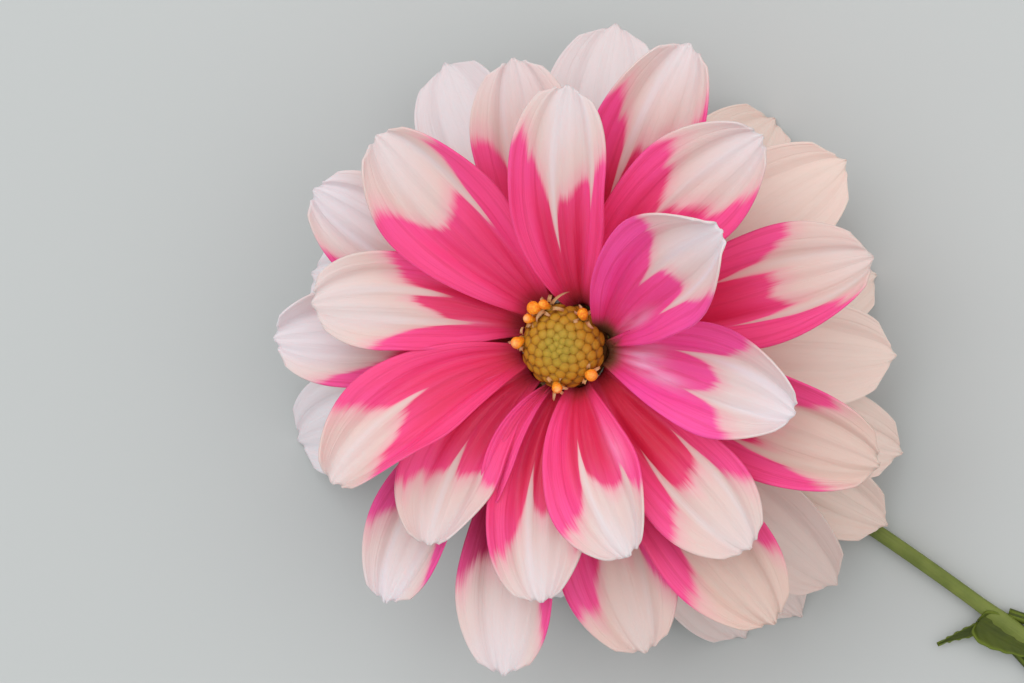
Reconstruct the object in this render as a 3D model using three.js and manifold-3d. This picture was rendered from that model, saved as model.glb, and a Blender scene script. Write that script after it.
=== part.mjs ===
// A cut dahlia lying on a level surface: the bloom faces up on its drooping outer petals, the neck bends
// under it and the stem runs along the surface. Millimetres, +Z up. z = 0 is the surface, +X the bloom's end.
import * as THREE from 'three';
import { mergeVertices } from 'three/addons/utils/BufferGeometryUtils.js';
import Module from 'manifold-3d';

const wasm = await Module();
wasm.setup();

// Driving dimensions
const headHeight = 32; // surface to the plane that the disc stands on
const headTurn = -145; // degrees that the bloom's own azimuth 0 is turned from +X
const petalReach = 1; // scales every petal's length
const petalSpread = 1; // scales every petal's width
const petalThickness = 0.6;
const petalRows = 10; // stations along a petal
const petalColumns = 4; // strips across a petal
const discRadius = 6.6;
const discHeight = 6.2;
const clearance = 0.3; // gap between pieces that touch in nature
const receptacleRim = 0.8; // how far the receptacle stands out past the disc
const receptacleDepth = 12;
const rimDrop = 0.5; // disc's plane to the receptacle's flat top
const floretRadius = 0.75;
const floretHeight = 5.2;
const stemRadius = 1.35;
const nodeRadius = 1.7; // the swelling that the leaves grow from
const nodeDistance = 91; // bloom's axis to the leaf node
const nodeSpan = 4; // how far along the stem the swelling fades
const stemReach = 132; // bloom's axis to the cut end
const stemBow = -2.3; // sideways bend of the stem's run
const leafLength = 32;
const leafWidth = 19;
const leafThickness = 0.7;
const turnedSides = 28; // facets round a turned piece
const bendPower = 1.4; // above 1, a blade bends early along its length

const receptacleRadius = discRadius + receptacleRim;
const rad = THREE.MathUtils.degToRad;

// A ray petal leaves the receptacle on a ring: how far the ring stands out from its side, and how far down
// its depth the ring is, as a share.
const rings = {
  innerHigh: { out: 1.3, down: 0.17 },
  innerLow: { out: 1.4, down: 0.27 },
  middleHigh: { out: 1.4, down: 0.37 },
  middleLow: { out: 1.4, down: 0.46 },
  outerHigh: { out: 1.3, down: 0.56 },
  outerLow: { out: 1.1, down: 0.66 },
  outerDeep: { out: 0.9, down: 0.75 },
};

// Each petal: ring, azimuth of its foot on the ring, heading, length, width, rise at the base and at the tip,
// cup of the left and right half, roll, sweep. Angles in degrees; left is the counter-clockwise side seen
// from above. A petal that would dip into the surface droops only until it touches it.
const hang = -89; // tip rise of a petal that droops all the way to the surface
const droopTrials = 30;
const petals = {
  inner_petal: [
    ['innerHigh', 14, 38, 47.5, 21, 64, 42, 48, 44, 0, -20],
    ['innerLow', 57, 43, 49, 20, 50, 8, 36, 34, 4, -22],
    ['innerHigh', 70, 89, 45, 18.5, 60, 12, 40, 40, 0, -22],
    ['innerHigh', 121, 131, 44.5, 21, 50, 10, 30, 34, -4, 0],
    ['innerLow', 153, 173, 39.5, 18.5, 46, 8, 34, 36, 0, 30],
    ['innerHigh', 195, 214, 42.5, 19, 48, 10, 64, 36, 4, 38],
    ['innerLow', 222, 240, 37.5, 17, 46, 8, 36, 40, 0, 48],
    ['innerHigh', 252, 244, 29.5, 8, 48, 4, 34, 34, 0, 46],
    ['innerLow', 264, 267, 39.5, 18, 46, 2, 36, 36, 0, 24],
    ['innerHigh', 290, 290, 35.5, 18, 58, 8, 38, 38, 0, 22],
    ['innerLow', 320, 314, 43.5, 19, 44, 4, 36, 36, 0, 0],
    ['innerHigh', 350, 345, 40.5, 19, 54, 6, 40, 36, 0, -22],
  ],
  middle_petal: [
    ['middleHigh', 16, 16, 50.5, 20, 37, 0, 30, 34, 0, 0],
    ['middleHigh', 66, 66, 51, 20, 38, 0, 34, 34, 0, 0],
    ['middleHigh', 99, 99, 44, 19, 36, 0, 32, 32, 0, 0],
    ['middleHigh', 148, 148, 44.5, 19, 32, -4, 30, 30, 0, 0],
    ['middleHigh', 178, 179, 44, 19, 29, -6, 32, 32, 0, 8],
    ['middleLow', 230, 236, 48.5, 16.5, 32, -4, 60, 34, 0, 34],
    ['middleHigh', 258, 260, 51.5, 18, 28, -8, 40, 40, 0, 16],
    ['middleLow', 286, 285, 48, 20, 29, -9, 32, 32, 0, 8],
    ['middleHigh', 308, 308, 53.5, 20, 31, -9, 32, 34, 0, 0],
    ['middleHigh', 340, 340, 52, 20, 33, -6, 34, 34, 0, 0],
  ],
  outer_petal: [
    ['outerLow', 13, 13, 53.5, 18, 8, hang, 30, 30, 0, 0],
    ['outerHigh', 34, 34, 51, 20, 15, -26, 30, 30, 0, 0],
    ['outerLow', 50, 50, 53, 18, 10, hang, 30, 30, 0, 0],
    ['outerHigh', 83, 83, 51, 20, 15, -30, 30, 30, 0, 0],
    ['outerHigh', 116, 116, 50.5, 19, 14, -35, 30, 30, 0, 0],
    ['outerLow', 142, 142, 49, 18, 5, hang, 30, 30, 0, 0],
    ['outerHigh', 166, 166, 47, 19, 8, -40, 30, 30, 0, 0],
    ['outerLow', 199, 199, 57, 19, 8, hang, 30, 30, 0, 0],
    ['outerLow', 258, 258, 48, 18, 4, hang, 30, 30, 0, 0],
    ['outerLow', 280, 280, 55, 18, 8, hang, 30, 30, 0, 0],
    ['outerLow', 298, 298, 60, 17, 8, hang, 30, 30, 0, 0],
    ['outerDeep', 308, 308, 61, 14, 4, hang, 30, 30, 0, 0],
    ['outerHigh', 317, 317, 58, 18, 12, -34, 30, 30, 0, 0],
    ['outerLow', 329, 329, 60, 16, 6, -38, 30, 30, 0, 0],
    ['outerLow', 341, 341, 57, 17, 9, -40, 30, 30, 0, 0],
    ['outerHigh', 358, 358, 50.5, 19, 13, -30, 30, 30, 0, 0],
  ],
};

const petalLook = { color: 0xe8437f, roughness: 0.55, metalness: 0 };
const greenLook = { color: 0x7d8c3a, roughness: 0.6, metalness: 0 };
const leafLook = { color: 0x33501f, roughness: 0.6, metalness: 0 };
const discLook = { color: 0xb08a2c, roughness: 0.65, metalness: 0 };
const floretLook = { color: 0xf28a1e, roughness: 0.6, metalness: 0 };

// A closed solid from a grid of points on its two faces: front and back are rows of equal length.
function shellGeometry(front, back) {
  const rows = front.length;
  const columns = front[0].length;
  const points = [...front.flat(), ...back.flat()];
  const at = (side, i, j) => side * rows * columns + i * columns + j;
  const index = [];
  const quad = (a, b, c, d) => index.push(a, b, c, a, c, d);
  for (let i = 0; i < rows - 1; i += 1) {
    for (let j = 0; j < columns - 1; j += 1) {
      quad(at(0, i, j), at(0, i + 1, j), at(0, i + 1, j + 1), at(0, i, j + 1));
      quad(at(1, i, j), at(1, i, j + 1), at(1, i + 1, j + 1), at(1, i + 1, j));
    }
    quad(at(0, i, 0), at(1, i, 0), at(1, i + 1, 0), at(0, i + 1, 0));
    quad(at(0, i, columns - 1), at(0, i + 1, columns - 1), at(1, i + 1, columns - 1), at(1, i, columns - 1));
  }
  for (let j = 0; j < columns - 1; j += 1) {
    quad(at(0, 0, j), at(0, 0, j + 1), at(1, 0, j + 1), at(1, 0, j));
    quad(at(0, rows - 1, j), at(1, rows - 1, j), at(1, rows - 1, j + 1), at(0, rows - 1, j + 1));
  }
  const geometry = new THREE.BufferGeometry();
  geometry.setAttribute('position', new THREE.Float32BufferAttribute(points.flatMap((p) => p.toArray()), 3));
  geometry.setIndex(index);
  return geometry;
}

// A petal's half width along it, as a share of the widest: a claw, a sine flare, then an ogival tip.
function petalOutline(s) {
  const claw = 0.17;
  const widest = 0.66;
  if (s < widest) return claw + (1 - claw) * Math.sin((Math.PI / 2) * (s / widest)) ** 1.1;
  const t = (0.985 * (s - widest)) / (1 - widest);
  return (1 - t * t) ** 0.62;
}

// A leaflet's half width along it: a quick ovate swelling and a long taper to a point.
function leafletOutline(s) {
  return Math.max(0.06, Math.sin(Math.PI * s ** 0.75) ** 0.9);
}

// A cupped blade. Its midrib starts at a point and turns from one rise to another as it goes out along its
// azimuth; each cross-section is an arc that curls up towards its two edges.
function bladeGeometry(blade) {
  const rows = blade.rows;
  const columns = blade.columns;
  const step = blade.length / rows;
  const middle = blade.start.clone();
  const front = [];
  const back = [];
  for (let i = 0; i <= rows; i += 1) {
    const s = i / rows;
    const rise = rad(blade.tipRise + (blade.rise - blade.tipRise) * (1 - s) ** bendPower);
    const heading = rad(blade.azimuth + blade.sweep * (s - 0.5));
    const along = new THREE.Vector3(Math.cos(heading), Math.sin(heading), 0).multiplyScalar(Math.cos(rise));
    along.z = Math.sin(rise);
    if (i > 0) middle.addScaledVector(along, step);
    const side = new THREE.Vector3(-Math.sin(heading), Math.cos(heading), 0);
    const normal = along.clone().cross(side);
    side.applyAxisAngle(along, rad(blade.roll));
    normal.applyAxisAngle(along, rad(blade.roll));
    const halfWidth = (blade.width / 2) * blade.outline(s);
    front.push([]);
    back.push([]);
    for (let j = 0; j <= columns; j += 1) {
      const t = (2 * j) / columns - 1;
      const cup = rad(t > 0 ? blade.cupLeft : blade.cupRight);
      const across = (halfWidth * Math.sin(cup * t)) / cup;
      const lift = (halfWidth * (1 - Math.cos(cup * t))) / cup;
      const point = middle.clone().addScaledVector(side, across).addScaledVector(normal, lift);
      const turn = cup * t;
      const facing = normal.clone().multiplyScalar(Math.cos(turn)).addScaledVector(side, -Math.sin(turn));
      front[i].push(point.clone().addScaledVector(facing, blade.thickness / 2));
      back[i].push(point.clone().addScaledVector(facing, -blade.thickness / 2));
    }
  }
  return shellGeometry(front, back);
}

function lowestPoint(geometry) {
  geometry.computeBoundingBox();
  return geometry.boundingBox.min.z;
}

// A point at a radius and azimuth of the bloom, at a height against the disc's plane.
function bloomPoint(radius, azimuth, height) {
  const angle = rad(azimuth + headTurn);
  return new THREE.Vector3(radius * Math.cos(angle), radius * Math.sin(angle), headHeight + height);
}

function petalGeometry(row, thickness) {
  const [ringName, foot, heading, length, width, rise, tipRise, cupLeft, cupRight, roll, sweep] = row;
  const { out, down } = rings[ringName];
  const standOff = out * petalSpread; // a wider petal's claw starts further from the receptacle's side
  const blade = {
    start: bloomPoint(receptacleRadius + standOff, foot, -down * receptacleDepth), azimuth: heading + headTurn,
    length: length * petalReach, width: width * petalSpread, outline: petalOutline,
    rise, tipRise, cupLeft, cupRight, roll, sweep, thickness, rows: petalRows, columns: petalColumns,
  };
  const dips = () => lowestPoint(bladeGeometry({ ...blade, thickness: petalThickness })) < 0;
  if (!dips()) return bladeGeometry(blade);
  let droopLow = tipRise;
  let droopHigh = 0;
  for (let k = 0; k < droopTrials; k += 1) {
    blade.tipRise = (droopLow + droopHigh) / 2;
    if (dips()) droopLow = blade.tipRise;
    else droopHigh = blade.tipRise;
  }
  return bladeGeometry(blade);
}

// Round rod along a curve, its radius a function of the share of the way along it.
function rodGeometry(curve, radiusAt, sides, steps) {
  const frames = curve.computeFrenetFrames(steps, false);
  const points = [];
  for (let i = 0; i <= steps; i += 1) {
    const centre = curve.getPointAt(i / steps);
    for (let j = 0; j < sides; j += 1) {
      const turn = (2 * Math.PI * j) / sides;
      const radius = radiusAt(i / steps);
      points.push(
        centre.clone()
          .addScaledVector(frames.normals[i], radius * Math.cos(turn))
          .addScaledVector(frames.binormals[i], radius * Math.sin(turn)),
      );
    }
  }
  const index = [];
  for (let i = 0; i < steps; i += 1) {
    for (let j = 0; j < sides; j += 1) {
      const a = i * sides + j;
      const b = i * sides + ((j + 1) % sides);
      index.push(a, b, b + sides, a, b + sides, a + sides);
    }
  }
  const last = steps * sides;
  for (let j = 1; j < sides - 1; j += 1) {
    index.push(0, j + 1, j);
    index.push(last, last + j, last + j + 1);
  }
  const geometry = new THREE.BufferGeometry();
  geometry.setAttribute('position', new THREE.Float32BufferAttribute(points.flatMap((p) => p.toArray()), 3));
  geometry.setIndex(index);
  return geometry;
}

function toSolid(geometry) {
  const bare = geometry.clone();
  bare.deleteAttribute('normal');
  bare.deleteAttribute('uv');
  const merged = mergeVertices(bare, 1e-4);
  return new wasm.Manifold(new wasm.Mesh({
    numProp: 3,
    vertProperties: new Float32Array(merged.attributes.position.array),
    triVerts: new Uint32Array(merged.index.array),
  }));
}

function toGeometry(solid) {
  const mesh = solid.getMesh();
  const geometry = new THREE.BufferGeometry();
  geometry.setAttribute('position', new THREE.BufferAttribute(mesh.vertProperties, 3));
  geometry.setIndex(new THREE.BufferAttribute(mesh.triVerts, 1));
  return geometry;
}

// What is left of a solid after the clearance round its neighbours is taken away: its largest piece.
function trimmed(geometry, cutters) {
  let solid = toSolid(geometry);
  let cut = false;
  for (const cutter of cutters) {
    if (!solid.intersect(cutter).isEmpty()) {
      solid = solid.subtract(cutter);
      cut = true;
    }
  }
  if (!cut) return geometry;
  const pieces = solid.decompose().sort((a, b) => b.volume() - a.volume());
  return toGeometry(pieces[0]);
}

const group = new THREE.Group();

function add(name, geometry, look) {
  geometry.computeVertexNormals();
  const mesh = new THREE.Mesh(geometry, new THREE.MeshStandardMaterial(look));
  mesh.name = name;
  group.add(mesh);
}

// A profile of radius and height, turned about the bloom's axis.
function turnedGeometry(profile) {
  const points = profile.map(([r, z]) => new THREE.Vector2(r, z));
  return new THREE.LatheGeometry(points, turnedSides).rotateX(Math.PI / 2);
}

// Receptacle: a fleshy cup, flat on top, drawn in to the neck. Its side is rounded through three stations,
// each a share of the radius and of the depth.
const neckFlare = 1.6; // how far its foot stands out past the stem
const cupStations = [[0.72, 0.1], [0.96, 0.27], [1, 0.62]];

function receptacleGeometry() {
  const top = headHeight - rimDrop;
  const bottom = headHeight - receptacleDepth;
  const side = cupStations.map(([out, up]) => [out * receptacleRadius, bottom + up * receptacleDepth]);
  return turnedGeometry([
    [0, bottom], [stemRadius + neckFlare, bottom], ...side, [receptacleRadius, top], [0, top],
  ]);
}

// Disc: a dome of closed disc florets, drawn in a little where it meets the receptacle.
const discWaist = 0.93; // the foot's radius as a share of the disc's
const discCollar = 1.2; // height of the foot
const domeSteps = 6;

function discGeometry() {
  const bottom = headHeight - rimDrop + clearance;
  const profile = [[0, bottom], [discRadius * discWaist, bottom]];
  for (let k = 0; k < domeSteps; k += 1) {
    const lean = (Math.PI / 2) * (k / domeSteps);
    const height = discCollar + (discHeight - discCollar) * Math.sin(lean);
    profile.push([discRadius * Math.cos(lean), bottom + height]);
  }
  return turnedGeometry([...profile, [0, bottom + discHeight]]);
}

// Open disc florets stand round the disc and lean out.
const floretAzimuths = [57, 119, 142, 179, 270, 324];
const floretLean = 8; // degrees
const floretTaper = 0.7; // the mouth's radius as a share of the tube's

function floretGeometry(azimuth) {
  const foot = discRadius + clearance + floretRadius;
  const spread = floretHeight * Math.tan(rad(floretLean));
  const base = bloomPoint(foot, azimuth, clearance - rimDrop);
  const crown = bloomPoint(foot + spread, azimuth, clearance - rimDrop + floretHeight);
  const radiusAt = (s) => floretRadius * (s < 1 ? 1 : floretTaper);
  return rodGeometry(new THREE.LineCurve3(base, crown), radiusAt, 8, 6);
}

// Bracts: thin inner ones against the back of the petals, fleshy outer ones that spread under them. `out` is
// from the receptacle's side and `up` from its foot.
const bractCount = 5;
const bracts = {
  inner_bract: { turn: 18, out: 0.6, up: 1.8, length: 13, width: 9, rise: -4, tipRise: -24, cup: 24 },
  outer_bract: { turn: 1, out: -2, up: -0.4, length: 14, width: 6.5, rise: -12, tipRise: -42, cup: 30 },
};

function bractGeometry(kind, k) {
  const { turn, out, up, length, width, rise, tipRise, cup } = bracts[kind];
  const azimuth = turn + (360 / bractCount) * k;
  return bladeGeometry({
    start: bloomPoint(receptacleRadius + out, azimuth, up - receptacleDepth), azimuth: azimuth + headTurn,
    length, width, outline: petalOutline, rise, tipRise, cupLeft: cup, cupRight: cup, roll: 0, sweep: 0,
    thickness: petalThickness, rows: 6, columns: 4,
  });
}

// The stem's middle line: down from the receptacle, round the neck, then along the surface with a slight bow.
class StemLine extends THREE.Curve {
  constructor() {
    super();
    this.top = headHeight - receptacleDepth - clearance;
    this.bend = this.top - nodeRadius;
    this.neck = (Math.PI / 2) * this.bend;
    this.run = stemReach - this.bend;
  }

  getPoint(share, target = new THREE.Vector3()) {
    const distance = share * (this.neck + this.run);
    if (distance < this.neck) {
      const turn = distance / this.bend;
      return target.set(-this.bend * (1 - Math.cos(turn)), 0, this.top - this.bend * Math.sin(turn));
    }
    const along = distance - this.neck;
    return target.set(-this.bend - along, stemBow * Math.sin((Math.PI * along) / this.run), nodeRadius);
  }
}

function stemGeometry(line, extra) {
  const length = line.neck + line.run;
  const radiusAt = (s) => {
    const fromNode = (s * length - (line.neck + nodeDistance - line.bend)) / nodeSpan;
    return stemRadius + (nodeRadius - stemRadius) * Math.exp(-fromNode * fromNode);
  };
  return rodGeometry(line, (s) => radiusAt(s) + extra, 10, 40);
}

// Leaves grow as a pair from the stem's node. Each is a short stalk, an end leaflet and two foot lobes, grown
// together. Headings are degrees from +X; a lobe's length and width are shares of the leaf's, and the last
// number is where it starts, as a share of the stalk: below zero it reaches back along the stem.
const leaves = {
  leaf_left: { side: 1, heading: 166, feet: [[52, 0.29, 0.12, -0.29], [187, 0.46, 0.34, -0.34]] },
  leaf_right: { side: -1, heading: 198, feet: [[262, 0.3, 0.24, 0.62], [188, 0.35, 0.3, 0.55]] },
};
const stalkRadius = 0.9;
const stalkLength = 14;
const leafRest = 1.3; // height of the stalk's middle line over the surface
const stalkStart = -0.34; // the stalk's foot, as a share of its length from the node
const endLeafletAt = 0.8; // share of the stalk that the end leaflet starts at
const leafletBend = { rise: 8, tipRise: -4, cupLeft: 12, cupRight: 12, roll: 0 };
const leafletSweep = 10; // degrees, away from the stem

function leafGeometry(line, { side, heading, feet }, extra) {
  const root = line.getPoint((line.neck + nodeDistance - line.bend) / (line.neck + line.run));
  root.y += side * (nodeRadius + clearance + stalkRadius);
  root.z = leafRest;
  const out = new THREE.Vector3(Math.cos(rad(heading)), Math.sin(rad(heading)), 0);
  const along = (share) => root.clone().addScaledVector(out, share * stalkLength);
  const leaflet = (start, azimuth, length, width) => toSolid(bladeGeometry({
    ...leafletBend, start, azimuth, sweep: side * leafletSweep, length, width, outline: leafletOutline,
    thickness: leafThickness + 2 * extra, rows: 8, columns: 4,
  }));
  const stalk = new THREE.LineCurve3(along(stalkStart), along(1));
  let leaf = toSolid(rodGeometry(stalk, () => stalkRadius + extra, 8, 2));
  leaf = leaf.add(leaflet(along(endLeafletAt), heading, leafLength, leafWidth));
  for (const [azimuth, length, width, at] of feet) {
    leaf = leaf.add(leaflet(along(at), azimuth, length * leafLength, width * leafWidth));
  }
  return toGeometry(leaf);
}

// Assembly. Petals are trimmed by the clearance round every petal that was placed before them.
add('receptacle', receptacleGeometry(), greenLook);
add('disc', discGeometry(), discLook);
floretAzimuths.forEach((azimuth, k) => add(`disc_floret_${k + 1}`, floretGeometry(azimuth), floretLook));
const petalCutters = [];
for (const [kind, rows] of Object.entries(petals)) {
  rows.forEach((row, k) => {
    const name = `${kind}_${String(k + 1).padStart(2, '0')}`;
    add(name, trimmed(petalGeometry(row, petalThickness), petalCutters), petalLook);
    petalCutters.push(toSolid(petalGeometry(row, petalThickness + 2 * clearance)));
  });
}
for (const kind of Object.keys(bracts)) {
  for (let k = 0; k < bractCount; k += 1) {
    const geometry = trimmed(bractGeometry(kind, k), petalCutters);
    add(`${kind}_${k + 1}`, geometry, kind === 'outer_bract' ? leafLook : greenLook);
  }
}
const stemLine = new StemLine();
add('stem', trimmed(stemGeometry(stemLine, 0), petalCutters), greenLook);
const leafCutters = [toSolid(stemGeometry(stemLine, clearance))];
for (const [name, leaf] of Object.entries(leaves)) {
  add(name, trimmed(leafGeometry(stemLine, leaf, 0), leafCutters), leafLook);
  leafCutters.push(toSolid(leafGeometry(stemLine, leaf, clearance)));
}

// The origin is the middle of the part's footprint, on the surface.
const box = new THREE.Box3().setFromObject(group);
const middle = box.getCenter(new THREE.Vector3());
group.position.set(-middle.x, -middle.y, -box.min.z);
group.updateMatrixWorld(true);

export default group;
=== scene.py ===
import bpy
import numpy as np
from mathutils import Matrix, Vector


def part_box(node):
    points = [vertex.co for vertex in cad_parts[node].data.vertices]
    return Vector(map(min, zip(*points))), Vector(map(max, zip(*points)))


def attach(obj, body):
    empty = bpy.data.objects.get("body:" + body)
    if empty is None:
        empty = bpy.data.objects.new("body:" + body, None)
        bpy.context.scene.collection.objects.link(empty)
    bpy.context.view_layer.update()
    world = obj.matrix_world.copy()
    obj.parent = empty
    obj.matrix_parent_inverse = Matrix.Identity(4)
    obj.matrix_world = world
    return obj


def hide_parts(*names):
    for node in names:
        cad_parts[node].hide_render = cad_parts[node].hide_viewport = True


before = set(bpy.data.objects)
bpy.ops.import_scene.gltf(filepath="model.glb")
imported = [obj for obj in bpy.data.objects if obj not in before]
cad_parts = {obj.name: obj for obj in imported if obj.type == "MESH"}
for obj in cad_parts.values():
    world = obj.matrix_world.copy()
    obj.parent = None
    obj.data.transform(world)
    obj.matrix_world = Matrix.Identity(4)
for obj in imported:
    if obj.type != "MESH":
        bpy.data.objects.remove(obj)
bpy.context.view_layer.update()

mm = 0.001
chance = np.random.default_rng(7)

# The bloom's own frame: its axis stands on the middle of the disc, and its azimuths are turned from +X.
discLow, discHigh = (np.array(corner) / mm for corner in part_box("disc"))
receptacleLow, receptacleHigh = (np.array(corner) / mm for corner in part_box("receptacle"))
rimDrop = 0.5  # from the plane that the disc stands on down to the receptacle's top
bloom = {
    "centre": (discLow[:2] + discHigh[:2]) / 2,
    "turn": -145.0,
    "plane": receptacleHigh[2] + rimDrop,
    "depth": receptacleHigh[2] - receptacleLow[2] + rimDrop,  # of the receptacle
    "side": (receptacleHigh[0] - receptacleLow[0]) / 2,  # receptacle's radius
}


def bloomPoint(radius, azimuth, height):
    # a point at a radius and azimuth of the bloom, at a height against the disc's plane
    angle = np.radians(azimuth + bloom["turn"])
    return np.stack(np.broadcast_arrays(
        bloom["centre"][0] + radius * np.cos(angle),
        bloom["centre"][1] + radius * np.sin(angle),
        bloom["plane"] + height,
    ), -1)


def smooth(value, low, high):
    # 0 below low, 1 above high, and 3x^2 - 2x^3 between
    x = np.clip((value - low) / (high - low), 0, 1)
    return x * x * (3 - 2 * x)


def gridFaces(rows, columns, wrap, flip):
    # quads of a grid of points; wrap joins the last column to the first, flip turns the faces over
    index = np.arange(rows * columns).reshape(rows, columns)
    left, right = (index, np.roll(index, -1, 1)) if wrap else (index[:, :-1], index[:, 1:])
    quads = np.stack([left[:-1], left[1:], right[1:], right[:-1]], -1).reshape(-1, 4)
    return quads[:, ::-1] if flip else quads


def buildPiece(name, points, faces, materials, values=None, uv=None):
    # points in millimetres; values are named numbers per vertex, uv a pair per vertex
    mesh = bpy.data.meshes.new(name)
    mesh.from_pydata((np.asarray(points).reshape(-1, 3) * mm).tolist(), [], [list(face) for face in faces])
    for key, value in (values or {}).items():
        layer = mesh.attributes.new(key, "FLOAT", "POINT")
        layer.data.foreach_set("value", np.broadcast_to(value, len(mesh.vertices)).astype(np.float32).ravel())
    if uv is not None:
        corner = np.zeros(len(mesh.loops), np.int32)
        mesh.loops.foreach_get("vertex_index", corner)
        layer = mesh.uv_layers.new(name="length")
        layer.data.foreach_set("uv", uv.reshape(-1, 2)[corner].astype(np.float32).ravel())
    mesh.polygons.foreach_set("use_smooth", np.ones(len(mesh.polygons), bool))
    for material in materials:
        mesh.materials.append(material)
    mesh.update()
    piece = bpy.data.objects.new(name, mesh)
    bpy.context.scene.collection.objects.link(piece)
    return piece


def place(piece, slot, *nodes):
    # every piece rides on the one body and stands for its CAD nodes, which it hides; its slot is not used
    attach(piece, "root")
    if nodes:
        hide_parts(*nodes)
    return piece


def rodPoints(path, radii, sides):
    # rings square to a path: each ring is its radius times (cos, sin) on the path's normal and binormal
    tangent = np.gradient(path, axis=0)
    tangent /= np.linalg.norm(tangent, axis=1, keepdims=True)
    lead = np.array([0.0, 1.0, 0.0]) if abs(tangent[0, 1]) < 0.9 else np.array([1.0, 0.0, 0.0])
    normal = np.cross(lead, tangent)
    normal /= np.linalg.norm(normal, axis=1, keepdims=True)
    binormal = np.cross(tangent, normal)
    turn = np.linspace(0, 2 * np.pi, sides, endpoint=False)
    ring = normal[:, None] * np.cos(turn)[None, :, None] + binormal[:, None] * np.sin(turn)[None, :, None]
    radii = np.broadcast_to(np.asarray(radii, float).reshape(len(path), -1), (len(path), sides))
    return path[:, None] + ring * radii[..., None]


def rodFaces(rows, sides):
    # side quads and one polygon over each end
    faces = gridFaces(rows, sides, True, True).tolist()
    last = (rows - 1) * sides
    return faces + [list(range(sides))[::-1], list(range(last, last + sides))]


class Wire:
    # a socket that takes part in arithmetic; each operator adds a Math node
    def __init__(self, paint, socket):
        self.paint = paint
        self.socket = socket

    def math(self, operation, first, second):
        return self.paint.node("ShaderNodeMath", {"operation": operation}, {0: first, 1: second})

    def __add__(self, other):
        return self.math("ADD", self, other)

    def __radd__(self, other):
        return self.math("ADD", other, self)

    def __sub__(self, other):
        return self.math("SUBTRACT", self, other)

    def __rsub__(self, other):
        return self.math("SUBTRACT", other, self)

    def __mul__(self, other):
        return self.math("MULTIPLY", self, other)

    def __rmul__(self, other):
        return self.math("MULTIPLY", other, self)


class Paint:
    # a Principled material whose uniform values sit on the shader's own sockets
    def __init__(self, name, fixed):
        self.material = bpy.data.materials.new(name)
        self.material.use_nodes = True
        self.tree = self.material.node_tree
        self.shader = self.tree.nodes["Principled BSDF"]
        for key, value in fixed.items():
            self.shader.inputs[key].default_value = value

    def feed(self, socket, value):
        if isinstance(value, Wire):
            self.tree.links.new(value.socket, socket)
        else:
            socket.default_value = value

    def node(self, kind, settings=None, sockets=None, output=0):
        made = self.tree.nodes.new(kind)
        for key, value in (settings or {}).items():
            setattr(made, key, value)
        for key, value in (sockets or {}).items():
            self.feed(made.inputs[key], value)
        return Wire(self, made.outputs[output])

    def wire(self, key, value):
        self.feed(self.shader.inputs[key], value)

    def value(self, name):
        return self.node("ShaderNodeAttribute", {"attribute_name": name}, output=2)

    def uvAxes(self):
        vector = self.node("ShaderNodeUVMap", {"uv_map": "length"})
        split = self.tree.nodes.new("ShaderNodeSeparateXYZ")
        self.feed(split.inputs[0], vector)
        return Wire(self, split.outputs[0]), Wire(self, split.outputs[1])

    def objectPoint(self):
        return self.node("ShaderNodeTexCoord", output=3)

    def point(self, x, y, z=0.0):
        return self.node("ShaderNodeCombineXYZ", sockets={0: x, 1: y, 2: z})

    def noise(self, vector, scale, detail=2.0, roughness=0.5):
        return self.node("ShaderNodeTexNoise", {"noise_dimensions": "3D"},
                         {"Vector": vector, "Scale": scale, "Detail": detail, "Roughness": roughness})

    def step(self, value, low, high, first=0.0, last=1.0):
        # first below low, last above high, smooth between
        return self.node("ShaderNodeMapRange", {"interpolation_type": "SMOOTHSTEP"},
                         {"Value": value, "From Min": low, "From Max": high, "To Min": first, "To Max": last})

    def mix(self, factor, first, second):
        ends = [(*end, 1.0) if isinstance(end, tuple) else end for end in (first, second)]
        return self.node("ShaderNodeMix", {"data_type": "RGBA"}, {0: factor, 6: ends[0], 7: ends[1]}, output=2)

    def bump(self, height, distance, strength=1.0):
        self.wire("Normal", self.node("ShaderNodeBump", sockets={
            "Height": height, "Distance": distance * mm, "Strength": strength}))


petalTint = {
    # the warm white below is darkened as painted shade for the petals turned away from the key lamp
    "shadedCream": (0.67, 0.505, 0.44),  # white of the warm side
    "chalk": (0.77, 0.70, 0.74),  # white of the cool side
    "peach": (0.84, 0.655, 0.585),  # pale outer petals of the warm side
    "beige": (0.73, 0.50, 0.43),  # white next to the pink
    "pink": (0.93, 0.062, 0.205),
    # magenta below: the petals' own bluer pink, with a painted cool cast where a petal faces the key lamp
    "magenta": (0.90, 0.075, 0.370),
    # crimson below: the deep red of the petal's middle strip and foot, partly its own colour and partly painted
    # shade
    "crimson": (0.60, 0.008, 0.035),  # middle of the pink
    # dark green at the petal's foot below: the claw's own green, darkened as painted shade
    "greenClawShade": (0.11, 0.085, 0.012),  # greenish claw
}


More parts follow.
